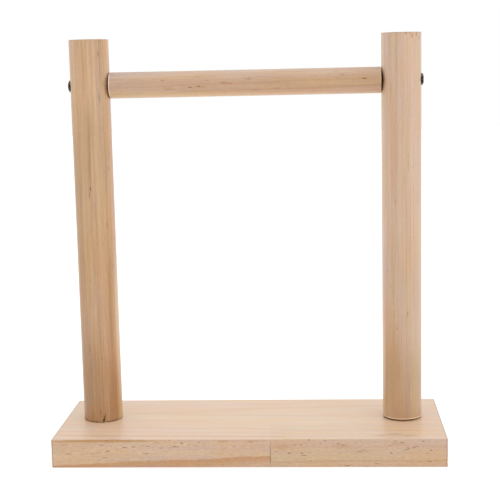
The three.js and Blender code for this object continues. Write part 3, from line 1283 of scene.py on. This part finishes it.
def break_end(piece: bpy.types.Object, axis: int, end: float, arris: float) -> None:
    """Break the sharp edge round one end of a rod.

    Args:
        piece: the rod.
        axis: 0 for a rod along X, and 2 for one along Z.
        end: where that end is along the axis.
        arris: how far the edge is broken.
    """
    def on_rim(edge: bmesh.types.BMEdge) -> bool:
        """Whether an edge lies in that end."""
        return all(abs(v.co[axis] / MM - end) < 0.01 for v in edge.verts)

    with editing(piece):
        choose(piece, Element.EDGE, on_rim)
        bpy.ops.mesh.bevel(offset=arris * MM, segments=4, profile=0.5, affect="EDGES")


@dataclass
class Perch:
    """The round perch, cut square and drilled at both ends.

    Attributes:
        arris: how far its end edges are broken.
        pilot_depth: how deep the hole in each end is.
        sides: facets round it.
    """

    arris: float = 0.25
    pilot_depth: float = 24.2
    sides: int = 96
    low: Vector = field(init=False)
    high: Vector = field(init=False)

    def __post_init__(self) -> None:
        """Read the perch's place from the frame."""
        self.low, self.high = node_box("perch")

    @property
    def axis(self) -> tuple[float, float]:
        """Y and Z of the perch's middle."""
        return (self.low.y + self.high.y) / 2, (self.low.z + self.high.z) / 2

    @property
    def radius(self) -> float:
        """Radius of the perch."""
        return (self.high.y - self.low.y) / 2

    def build(self) -> None:
        """Model and dress the perch."""
        y, z = self.axis
        perch = rod("perch_wood", self.radius, (self.low.x, y, z), (self.high.x, y, z), self.sides)
        for end, turn in ((self.low.x, 90), (self.high.x, -90)):
            break_end(perch, 0, end, self.arris)
            hole = pilot_hole(0, self.pilot_depth)
            place(hole, (end, y, z), (0, turn, 0))
            work(perch, hole)
        hand_over(perch, "perch", self._pine().material())

    def _mark(self, x: float, bearing: float, reach: float, breadth: float, depth: float) -> Mark:
        """A mark on the perch, at a place along it and a bearing above its front."""
        y, z = self.axis
        angle = math.radians(bearing)
        spot = (x, y - self.radius * math.cos(angle), z + self.radius * math.sin(angle))
        return Mark(spot, reach, breadth, depth)

    def _marks(self, *spots: tuple[float, ...]) -> tuple[Mark, ...]:
        """Several marks, each given as _mark takes it."""
        return tuple(self._mark(*spot) for spot in spots)

    def _pine(self) -> Pine:
        """A pinkish dowel with a few pin knots in its front."""
        y, z = self.axis
        return Pine(
            name="perch_pine",
            grain=Grain.ALONG_X,
            middle=(0, y, z),
            pith=(4.0, -38.0),
            lean=(0.0, 0.02),
            ring_width=4.6,
            ring_edge=36.0,
            late_share=0.35,
            wander=0.9,
            early=paint(210, 178, 147),
            late=paint(194, 150, 110),
            ring_depth=0.35,
            other_years=0.8,
            streak_depth=0.12,
            fibre_depth=0.26,
            speckle_depth=0.12,
            seed=73.3,
            fleck_share=0.12,
            bands=(
                # Painted light and shade round the perch: paler and cooler on top for its sheen, darker
                # across the front, paler underneath from the floor.
                Band(90, 80, -120, 120, (1.02, 1.1, 1.2), 1),
                Band(-3, 45, -120, 120, (0.91, 0.88, 0.86)),
                Band(-90, 70, -120, 120, (1.16, 1.15, 1.12)),
                Band(0, WHOLE, -140, -30, (1.03, 1.05, 1.08), 40),
                Band(0, WHOLE, -60, 260, (0.95, 0.93, 0.94), 100),
                Band(0, WHOLE, 50, 140, (0.94, 0.92, 0.9), 30),
                # Painted light: paler underneath towards the right end.
                Band(-75, 34, -60, 120, (1.06, 1.12, 1.15), 40),
                Band(60, 40, -120, -35, (0.9, 0.93, 1.0), 30),
                Band(85, 24, -120, -50, (0.84, 0.79, 0.8), 20),
                # Painted highlight: a pale rim at each end of the perch, beside the shade in the gap against
                # the post.
                Band(15, 80, self.low.x - 1, self.low.x + 0.7, (1.5, 1.9, 2.4), 0.1),
                Band(15, 80, self.high.x - 0.8, self.high.x + 1, (1.12, 1.18, 1.25), 0.1),
            ),
            flecks=self._marks(
                (-48, -20, 1.5, 0.32, 1.0), (-45, -23, 2.6, 0.3, 0.5), (-34, -14, 2.6, 0.3, 1.0),
                (-28.5, -10, 1.2, 0.34, 1.0), (-25.5, -13, 2.4, 0.3, 0.5), (-31, 32, 4.0, 0.26, 0.6),
                (-12.5, 4, 2.8, 0.26, 0.8), (-9, 0, 2.4, 0.3, 0.5), (3, 17, 3.6, 0.24, 0.8),
                (-51, 18, 2.2, 0.28, 0.7), (-79, -6, 3.2, 0.24, 0.5), (7, -33, 3.4, 0.26, 0.5),
                (20, -26, 5.0, 0.24, 0.5), (30, -29, 6.0, 0.24, 0.4), (57, 45, 4.0, 0.24, 0.5),
                (61, 28, 1.5, 0.28, 0.9), (75, 9, 2.8, 0.28, 1.0), (72, 12, 1.6, 0.25, 0.5),
            ),
            ambers=self._marks(
                (-47.5, -17, 5.5, 1.5, 0.35), (-28, -14, 7.0, 1.4, 0.3), (-10.5, 0, 6.5, 1.2, 0.4),
                (62, 24, 4.0, 1.0, 0.3), (-68, 60, 12.0, 0.4, 0.4),
            ),
        )


# --------------------------------------------------------------------------------------
# Screws


class Head(Enum):
    """The shape of a screw's head."""

    PAN = "pan"
    FLAT = "countersunk"


@dataclass
class Screw:
    """A wood screw with a cross recess and a cut thread.

    Attributes:
        node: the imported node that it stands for.
        head: the shape of its head.
        shank_end: where its plain shank ends, from under a pan head or a flat head's face.
        shank: radius of the plain shank.
        core: radius at the root of the thread.
        crest: radius at the crest of the thread.
        pitch: from one turn of the thread to the next.
        point: length of its point.
        sides: facets round it.
    """

    node: str
    head: Head
    shank_end: float
    shank: float = 2.0
    core: float = 1.5
    crest: float = 2.0
    pitch: float = 1.8
    point: float = 5.0
    sides: int = 48

    PAN_HEIGHT = 2.6
    FLAT_RIM = 0.4
    RECESS_SPAN = 4.6
    RECESS_FLOOR = 2.4
    RECESS_SLOT = 1.0
    RECESS_DEPTH = 1.5

    def build(self, finish: Steel, slot: str) -> None:
        """Model the screw point upwards, put it in place and dress it.

        Args:
            finish: its steel.
            slot: not used.
        """
        low, high = node_box(self.node)
        along = 0 if self.head is Head.PAN else 2
        length = high[along] - low[along]
        radius = (high.y - low.y) / 2
        if self.head is Head.PAN:
            length -= self.PAN_HEIGHT
        screw = turn_up(f"{self.node}_steel", self._profile(radius, length), self.sides)
        work(screw, self._thread(length), "UNION")
        face = -self.PAN_HEIGHT if self.head is Head.PAN else 0.0
        for turn in (0, 90):
            work(screw, self._slot_cutter(face, turn))
        middle = (low + high) / 2
        if self.head is Head.FLAT:
            place(screw, (middle.x, middle.y, low.z), (0, 0, 12))
        elif middle.x < 0:
            place(screw, (low.x + self.PAN_HEIGHT, middle.y, middle.z), (0, 90, 0))
        else:
            place(screw, (high.x - self.PAN_HEIGHT, middle.y, middle.z), (0, -90, 0))
        hand_over(screw, self.node, finish.material())

    def _profile(self, radius: float, length: float) -> list[tuple[float, float]]:
        """Radius and height of each step of the screw, from its head to its point."""
        if self.head is Head.PAN:
            shoulder, flat = self.PAN_HEIGHT * 0.35, radius * 0.45
            steps = 9
            crown = [
                (
                    flat + (radius - flat) * math.sin(step / steps * math.pi / 2),
                    -shoulder - (self.PAN_HEIGHT - shoulder) * math.cos(step / steps * math.pi / 2),
                )
                for step in range(steps + 1)
            ]
            top = [*crown, (radius, -0.12), (radius - 0.12, 0), (self.shank, 0)]
        else:
            cone = self.FLAT_RIM + radius - self.shank
            top = [(radius - 0.15, 0), (radius, 0.12), (radius, self.FLAT_RIM), (self.shank, cone)]
        return [
            *top,
            (self.shank, self.shank_end),
            (self.core, self.shank_end + self.shank - self.core),
            (self.core, length - self.point),
            (0, length),
        ]

    def _thread(self, length: float) -> bpy.types.Object:
        """A sharp ridge that winds up the core and dies out towards the point."""
        start = self.shank_end + self.shank - self.core + 0.4
        end = length - 1.2
        steps_per_turn = 24
        steps = int((end - start) / self.pitch * steps_per_turn)
        curve = bpy.data.curves.new("thread", "CURVE")
        curve.dimensions = "3D"
        curve.bevel_depth = (self.crest - self.core) * MM
        curve.bevel_resolution = 0
        curve.use_fill_caps = True
        curve.twist_mode = "Z_UP"
        spline = curve.splines.new("POLY")
        spline.points.add(steps)
        for step, point in enumerate(spline.points):
            height = start + (end - start) * step / steps
            angle = step / steps_per_turn * math.tau
            taper = min(1.0, (length - height) / self.point)
            radius = self.core * taper
            point.co = (radius * math.cos(angle) * MM, radius * math.sin(angle) * MM, height * MM, 1)
            point.radius = min(1.0, 0.15 + step / steps_per_turn * 2) * (0.35 + 0.65 * taper)
        ridge = bpy.data.objects.new("thread", curve)
        bpy.context.scene.collection.objects.link(ridge)
        pick(ridge)
        bpy.ops.object.convert(target="MESH")
        with editing(ridge):
            bpy.ops.mesh.select_all(action="SELECT")
            bpy.ops.mesh.normals_make_consistent(inside=False)
        return ridge

    def _slot_cutter(self, face: float, turn: float) -> bpy.types.Object:
        """One slot of the cross recess, which narrows towards its floor."""
        flare = (self.RECESS_SPAN - self.RECESS_FLOOR) / 2 / self.RECESS_DEPTH
        over = 1.0
        mouth = self.RECESS_SPAN / 2 + flare * over
        half = self.RECESS_SLOT / 2
        cutter = block("recess", (-mouth, -half, face - over), (mouth, half, face + self.RECESS_DEPTH))
        with editing(cutter):
            choose(cutter, Element.VERT, lambda v: v.co.z / MM > face)
            share = self.RECESS_FLOOR / 2 / mouth
            bpy.ops.transform.resize(value=(share, 0.7, 1))
        place(cutter, (0, 0, 0), (0, 0, turn))
        return cutter


# --------------------------------------------------------------------------------------
# The studio

WHITE: Colour = (1.0, 1.0, 1.0, 1.0)


@dataclass
class Studio:
    """A white tent: a white floor, an even sky and two soft lamps.

    Attributes:
        sky: how much light comes from all round.
        floor_span: width of the floor, in metres.
        floor_glow: what the camera sees of the floor besides its own light.
    """

    sky: float = 0.87
    floor_span: float = 8.0
    floor_glow: float = 0.36

    def build(self) -> None:
        """Lay the floor, light the sky and hang the lamps."""
        self._floor()
        self._sky()
        self._lamp("overhead_lamp", (0.0, -0.1, 1.4), 1.6, 2.0)
        self._lamp("right_lamp", (1.3, -0.75, 0.45), 1.0, 3.8)

    @staticmethod
    def _seen(graph: Graph) -> Value:
        """1 for what the camera sees, straight or in a reflection, and 0 for light."""
        path = graph.node("ShaderNodeLightPath", output="Is Camera Ray")
        return path.either(path.output("Is Glossy Ray")).either(path.output("Is Transmission Ray"))

    def _floor(self) -> None:
        """A plain white floor that keeps the stand's soft shadow."""
        bpy.ops.mesh.primitive_plane_add(size=self.floor_span, location=(0, 0, -0.02 * MM))
        floor = settle("floor")
        material, graph = new_material("floor_paper")
        paper = graph.node("ShaderNodeBsdfDiffuse", sockets={"Color": paint(244, 244, 244)})
        glow = graph.node(
            "ShaderNodeEmission",
            sockets={"Color": WHITE, "Strength": self._seen(graph) * self.floor_glow},
        )
        both = graph.node("ShaderNodeAddShader", sockets={0: paper, 1: glow})
        graph.node_out(both, "ShaderNodeOutputMaterial")
        floor.data.materials.append(material)

    def _sky(self) -> None:
        """White to the camera, and an even light for the stand."""
        world = bpy.data.worlds.new("tent")
        bpy.context.scene.world = world
        world.use_nodes = True
        world.node_tree.nodes.clear()
        graph = Graph(world.node_tree)
        lit = graph.node("ShaderNodeBackground", sockets={"Color": WHITE, "Strength": self.sky})
        seen = graph.node("ShaderNodeBackground", sockets={"Color": WHITE, "Strength": 1.0})
        both = graph.node("ShaderNodeMixShader", sockets={0: self._seen(graph), 1: lit, 2: seen})
        graph.node_out(both, "ShaderNodeOutputWorld")

    @staticmethod
    def _lamp(name: str, at: Point, span: float, power: float) -> None:
        """Hang a square lamp, in metres and watts, that faces the stand."""
        bpy.ops.object.light_add(type="AREA", location=at)
        lamp = bpy.context.object
        lamp.name = name
        lamp.data.size = span
        lamp.data.energy = power
        toward = Vector((0, 0, 0.12)) - Vector(at)
        lamp.rotation_euler = toward.to_track_quat("-Z", "Y").to_euler()


@dataclass
class Viewpoint:
    """Where the photograph was taken from, in millimetres and radians."""

    at: Point = (47.2, -755.1, 243.3)
    yaw: float = -0.0606
    pitch: float = 0.1491
    roll: float = -0.0218
    lens: float = 85.8
    sensor: float = 36.0

    def build(self) -> None:
        """Set up the camera and make it the scene's."""
        ahead = Vector((
            math.sin(self.yaw) * math.cos(self.pitch),
            math.cos(self.yaw) * math.cos(self.pitch),
            -math.sin(self.pitch),
        ))
        level = Vector((math.cos(self.yaw), -math.sin(self.yaw), 0))
        upright = level.cross(ahead)
        right = level * math.cos(self.roll) + upright * math.sin(self.roll)
        up = upright * math.cos(self.roll) - level * math.sin(self.roll)
        turn = Matrix((right, up, -ahead)).transposed().to_4x4()
        bpy.ops.object.camera_add()
        camera = bpy.context.object
        camera.name = "camera"
        camera.matrix_world = Matrix.Translation(Vector(self.at) * MM) @ turn
        camera.data.sensor_fit = "HORIZONTAL"
        camera.data.sensor_width = self.sensor
        camera.data.lens = self.lens
        bpy.context.scene.camera = camera


def main() -> None:
    """Build the whole stand, piece by piece, and the studio round it."""
    logging.basicConfig(level=logging.INFO, format="%(message)s")
    Viewpoint().build()
    Studio().build()
    Board().build()
    Post("left", foot_arris=0.5, fuzz=0.25).build()
    Post("right", foot_arris=0.9).build()
    Perch().build()
    # Each steel's last colour is for its small bright spots: on the blackened heads, painted glints.
    blackened = Steel("blackened_steel", paint(38, 32, 30), paint(13, 11, 11), 0.28, paint(180, 172, 166))
    zinc = Steel("zinc_steel", paint(208, 206, 198), paint(176, 173, 164), 0.36, paint(222, 220, 214))
    for side in ("left", "right"):
        Screw(f"{side}_perch_screw", Head.PAN, shank_end=23).build(blackened, "perch_screw_steel")
        Screw(f"{side}_base_screw", Head.FLAT, shank_end=17).build(zinc, "base_screw_steel")
    bpy.context.scene.view_settings.view_transform = "Standard"


if __name__ == "__main__":
    main()
